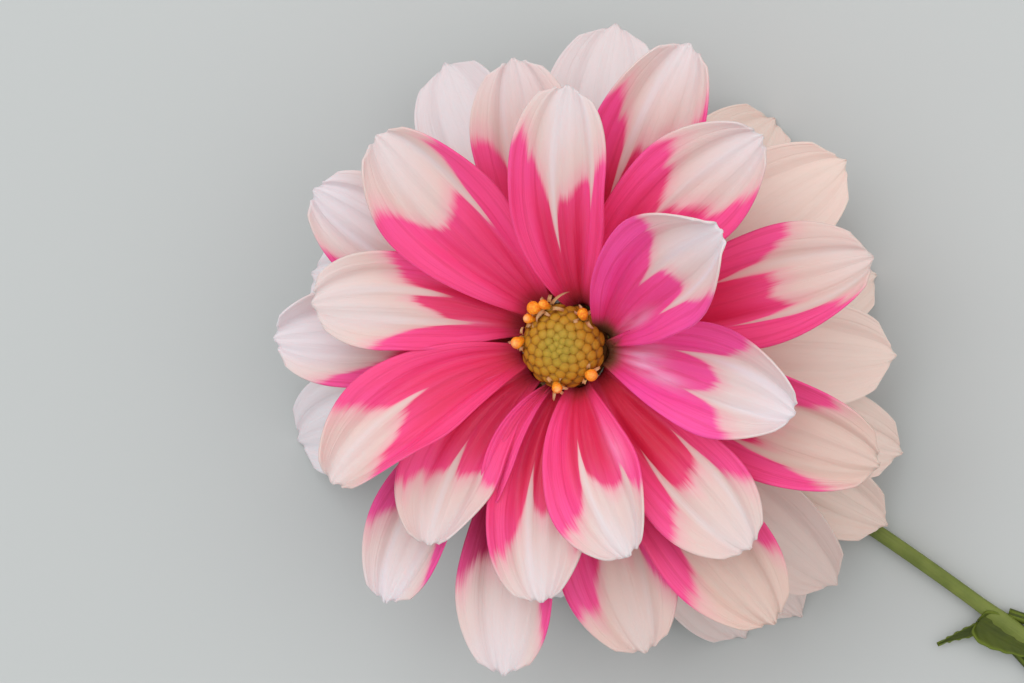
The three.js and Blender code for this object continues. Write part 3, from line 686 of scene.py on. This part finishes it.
receptacleGreen = greenPaint("receptacle green", (0.20, 0.25, 0.06), (0.30, 0.34, 0.10), 30.0, 0.5,
                             (0.10, 0.035, 0.008))
bractGreen = greenPaint("bract green", (0.12, 0.20, 0.04), (0.19, 0.28, 0.06), 26.0, 0.45)
bractPale = greenPaint("bract membrane", (0.42, 0.40, 0.18), (0.55, 0.50, 0.26), 30.0, 0.45)
stemGreen = greenPaint("stem green", (0.125, 0.160, 0.026), (0.185, 0.220, 0.045), 34.0, 0.5)
leafGreen = greenPaint("leaf green", (0.036, 0.052, 0.003), (0.066, 0.086, 0.006), 14.0, 0.6, None,
                       (0.13, 0.17, 0.012))
leafUnder = greenPaint("leaf underside", (0.17, 0.23, 0.06), (0.23, 0.29, 0.09), 14.0, 0.55)


def makeReceptacle():
    # a profile turned about the axis, drawn in to the neck, with shallow ribs
    rows, sides = 33, 60
    bottom = -bloom["depth"]
    radius = np.array([1.7, 3.2, 5.4, 7.0, 7.5, 7.6, 7.4, 6.5, 4.0])
    height = np.array([bottom, bottom + 0.1, bottom + 1.2, bottom + 3.2, -5.0, -3.0, -1.6, -0.6, -0.6])
    fine = np.linspace(0, len(radius) - 1, rows)
    radius = np.interp(fine, np.arange(len(radius)), radius)
    height = np.interp(fine, np.arange(len(height)), height)
    turn = np.linspace(0, 360, sides, endpoint=False)
    ribs = 1 + 0.02 * np.cos(np.radians(turn) * 16)
    points = bloomPoint(radius[:, None] * ribs[None], turn[None], height[:, None])
    uv = np.stack(np.broadcast_arrays(fine[:, None] / 8, turn[None] / 360), -1)
    return buildPiece("receptacle_cup", points, rodFaces(rows, sides), [receptacleGreen], None, uv)


place(makeReceptacle(), "receptacle_green", "receptacle")

bractCount = 5
bracts = {
    "inner_bract": {"turn": 18, "out": 0.6, "up": 1.8, "length": 13, "width": 9, "rise": -4, "tipRise": -24,
                    "cup": 24, "material": bractPale, "slot": "bract_pale", "thick": 0.25},
    "outer_bract": {"turn": 1, "out": -2.4, "up": -0.2, "length": 14, "width": 6.5, "rise": -12,
                    "tipRise": -42, "cup": 30, "material": bractGreen, "slot": "bract_green", "thick": 0.7},
}


def makeBract(kind, k):
    # a short blade with a keel along its middle; its width is a power of a sine, narrowed at the tip
    b = bracts[kind]
    azimuth = b["turn"] + 360 / bractCount * k
    s, t = np.meshgrid(np.linspace(0, 1, 25), np.linspace(-1, 1, 13), indexing="ij")
    start = bloomPoint(bloom["side"] + b["out"], azimuth, b["up"] - bloom["depth"])
    lift = -0.3 * np.exp(-(t / 0.15) ** 2) + 0.12 * np.cos(9 * t + k)

    def outline(x):
        return 0.35 + 0.65 * np.sin(np.pi * np.clip(0.12 + 0.86 * x, 0, 1)) ** 0.7 - 0.3 * x ** 4

    points = bladePoints(start, azimuth + bloom["turn"], b["length"], b["width"], b["rise"], b["tipRise"],
                         b["cup"], b["cup"], 0, 0, outline, s, t, lift)
    piece = buildPiece(f"{kind}_blade_{k + 1}", points, gridFaces(*s.shape, False, False), [b["material"]],
                       None, np.stack([s, (t + 1) / 2], -1))
    shell = piece.modifiers.new("thickness", "SOLIDIFY")
    shell.thickness = b["thick"] * mm
    shell.offset = 0
    return place(piece, b["slot"], f"{kind}_{k + 1}")


for kind in bracts:
    for k in range(bractCount):
        makeBract(kind, k)
print("receptacle and bracts made")


stem = {"radius": 1.32, "nodeRadius": 1.7, "nodeDistance": 91.0, "nodeSpan": 4, "reach": 132.0, "bow": -2.3,
        "rings": 260, "sides": 28}
stem["top"] = bloom["plane"] - bloom["depth"] + 0.4
stem["bend"] = stem["top"] - stem["nodeRadius"]
stem["neck"] = np.pi / 2 * stem["bend"]
stem["run"] = stem["reach"] - stem["bend"]


def stemMiddle(distance):
    # down from the receptacle, a quarter turn round the neck, then out along the surface with a sine bow
    turn = np.clip(distance / stem["bend"], 0, np.pi / 2)
    along = np.clip(distance - stem["neck"], 0, None)
    return np.stack([
        bloom["centre"][0] - stem["bend"] * (1 - np.cos(turn)) - along,
        bloom["centre"][1] + stem["bow"] * np.sin(np.pi * along / stem["run"]),
        stem["top"] - stem["bend"] * np.sin(turn),
    ], -1)


def makeStem():
    # the rod swells where it meets the receptacle and at the leaf node, and has shallow ribs
    distance = np.linspace(0, stem["neck"] + stem["run"], stem["rings"])
    node = (distance - stem["neck"] - stem["nodeDistance"] + stem["bend"]) / stem["nodeSpan"]
    radius = stem["radius"] + (stem["nodeRadius"] - stem["radius"]) * np.exp(-node ** 2)
    radius = radius + 1.1 * np.exp(-distance / 2.2)
    turn = np.linspace(0, 2 * np.pi, stem["sides"], endpoint=False)
    ribs = 1 + 0.035 * np.cos(6 * turn)
    points = rodPoints(stemMiddle(distance), radius[:, None] * ribs[None], stem["sides"])
    uv = np.stack(np.broadcast_arrays(distance[:, None] / 40, turn[None] / (2 * np.pi)), -1)
    return buildPiece("stem_rod", points, rodFaces(stem["rings"], stem["sides"]), [stemGreen], None, uv)


place(makeStem(), "stem_green", "stem")

# Each foot lobe: azimuth, share of the leaf's length and width, where on the stalk it starts, how far aside
# and up from there, roll, how early it is widest (a lower number is earlier) and how toothed it is.
leaves = {
    "leaf_left": {"side": 1, "heading": 166, "feet": [
        (56, 0.33, 0.11, -0.18, 0.0, 0.3, 0, 0.5, 0),
        (187, 0.46, 0.34, -0.36, 1.6, 1.3, -12, 0.34, 0.1)]},
    "leaf_right": {"side": -1, "heading": 198, "feet": [
        (262, 0.30, 0.24, 0.62, 0.0, 0.0, 0, 0.75, 1),
        (188, 0.35, 0.30, 0.55, 0.0, 0.3, 10, 0.75, 1)]},
}
endLeaflet = (0.75, 0, 0, 0, 0.75, 1)  # where it starts, aside, up, roll, how early and how toothed
leafForm = {"length": 32.0, "width": 19.0, "thickness": 0.35, "stalk": 14.0, "stalkRadius": 0.9, "rest": 1.3}


def leafletPoints(start, heading, length, width, side, roll, early, toothed):
    # An ovate swelling with a long point, its edge cut by forward teeth. The sheet folds a little at the
    # midrib and dips along its side veins.
    def outline(x):
        teeth = toothed * 0.07 * (1 - np.mod(7 * x, 1)) * np.sin(np.pi * np.clip(x, 0, 1))
        swell = np.abs(np.sin(np.pi * np.clip(x, 0, 1) ** early)) ** 0.9
        return np.maximum(0.02, swell * (1 - 0.3 * x ** 4) + teeth)

    s, t = np.meshgrid(np.linspace(0, 1, 57), np.linspace(-1, 1, 17), indexing="ij")
    veins = np.cos(2 * np.pi * (6 * s - 1.6 * np.abs(t)))
    lift = 0.016 * width * veins * smooth(np.abs(t), 0.05, 0.5) - 0.035 * width * np.exp(-(t / 0.08) ** 2)
    points = bladePoints(start, heading, length, width, 8, -6, 16, 16, roll, side * 10, outline, s, t, lift)
    return points, s, t


def makeLeaf(name):
    # a stalk that leaves the stem's node along the surface, an end leaflet, and two foot lobes by the stalk
    leaf = leaves[name]
    root = stemMiddle(np.array(stem["neck"] + stem["nodeDistance"] - stem["bend"]))
    root[1] += leaf["side"] * (stem["nodeRadius"] + leafForm["stalkRadius"] - 0.5)
    root[2] = leafForm["rest"]
    heading = np.radians(leaf["heading"])
    out = np.array([np.cos(heading), np.sin(heading), 0.0])
    stalkRings, stalkSides = 14, 12
    share = np.linspace(-0.1, 1.0, stalkRings)
    radii = leafForm["stalkRadius"] * (1.15 - 0.5 * share)
    stalk = rodPoints(root + out * leafForm["stalk"] * share[:, None], radii, stalkSides)
    uv = np.stack(np.broadcast_arrays(share[:, None], np.linspace(0, 1, stalkSides)[None]), -1)
    piece = buildPiece(f"{name}_stalk", stalk, rodFaces(stalkRings, stalkSides), [leafGreen], None, uv)
    place(piece, "leaf_green", name)
    leaflets = [(leaf["heading"], 1, 1, *endLeaflet), *leaf["feet"]]
    for k, (azimuth, length, width, at, aside, up, *shape) in enumerate(leaflets):
        start = root + out * leafForm["stalk"] * at + np.array([0, leaf["side"] * aside, up])
        points, s, t = leafletPoints(start, azimuth, length * leafForm["length"], width * leafForm["width"],
                                     leaf["side"], *shape)
        blade = buildPiece(f"{name}_leaflet_{k + 1}", points, gridFaces(*s.shape, False, False),
                           [leafGreen, leafUnder], None, np.stack([s, (t + 1) / 2], -1))
        shell = blade.modifiers.new("thickness", "SOLIDIFY")
        shell.thickness = leafForm["thickness"] * mm
        shell.offset = -1
        shell.material_offset = 1
        place(blade, "leaf_green", name)


for name in leaves:
    makeLeaf(name)
print("stem and leaves made")


def makeFloor():
    # a wide level square, softly mottled
    paint = Paint("floor", {"Roughness": 0.85, "Specular IOR Level": 0.2})
    cloud = paint.noise(paint.objectPoint(), 3.0)
    paint.wire("Base Color", paint.mix(cloud, (0.50, 0.512, 0.505), (0.535, 0.547, 0.54)))
    half = 4.0 / mm
    floor = buildPiece("floor", [(-half, -half, 0), (half, -half, 0), (half, half, 0), (-half, half, 0)],
                       [(0, 1, 2, 3)], [paint.material])


def bloomDirection(azimuth, elevation):
    # a unit vector at an azimuth of the bloom and an elevation above the horizon
    turn, lift = np.radians(azimuth + bloom["turn"]), np.radians(elevation)
    return Vector((np.cos(turn) * np.cos(lift), np.sin(turn) * np.cos(lift), np.sin(lift)))


def aim(thing, spot, direction, distance, up):
    # puts a thing at a distance from a spot, looking back at it, with up towards the top
    back = direction.normalized()
    right = up.cross(back).normalized()
    turn = Matrix((right, back.cross(right), back)).transposed().to_4x4()
    thing.matrix_world = Matrix.Translation(spot + back * distance) @ turn


middle = Vector((*bloom["centre"], bloom["plane"] + 3.0)) * mm
lights = [
    # azimuth, elevation, distance, size, power, colour
    (125, 56, 1.6, 1.7, 10.9, (0.96, 0.98, 1.0)),
    (10, 50, 1.6, 1.6, 5.4, (1.0, 0.95, 0.90)),
]
for k, (azimuth, elevation, distance, size, power, colour) in enumerate(lights):
    lamp = bpy.data.lights.new(f"softbox {k + 1}", "AREA")
    lamp.shape = "DISK"
    lamp.size = size
    lamp.energy = power
    lamp.color = colour
    holder = bpy.data.objects.new(f"softbox {k + 1}", lamp)
    bpy.context.scene.collection.objects.link(holder)
    aim(holder, middle, bloomDirection(azimuth, elevation), distance, Vector((0, 0, 1)))

world = bpy.data.worlds.new("studio")
world.use_nodes = True
world.node_tree.nodes["Background"].inputs["Color"].default_value = (0.92, 0.95, 0.96, 1)
world.node_tree.nodes["Background"].inputs["Strength"].default_value = 0.80
bpy.context.scene.world = world
bpy.context.scene.view_settings.view_transform = "Standard"
makeFloor()

view = {"azimuth": 10, "tilt": 9.5, "distance": 0.6, "width": 0.176, "aside": -0.0084, "above": 0.0008}
eye = bpy.data.cameras.new("camera")
eye.sensor_width = 36
eye.lens = 36 * view["distance"] / view["width"]
eye.clip_start = 0.01
camera = bpy.data.objects.new("camera", eye)
bpy.context.scene.collection.objects.link(camera)
bpy.context.scene.camera = camera
lookBack = bloomDirection(view["azimuth"], 90 - view["tilt"])
imageUp = bloomDirection(90, 0)
imageRight = imageUp.cross(lookBack).normalized()
aim(camera, middle + imageRight * view["aside"] + lookBack.cross(imageRight) * view["above"], lookBack,
    view["distance"], imageUp)
print("floor, lights and camera made")
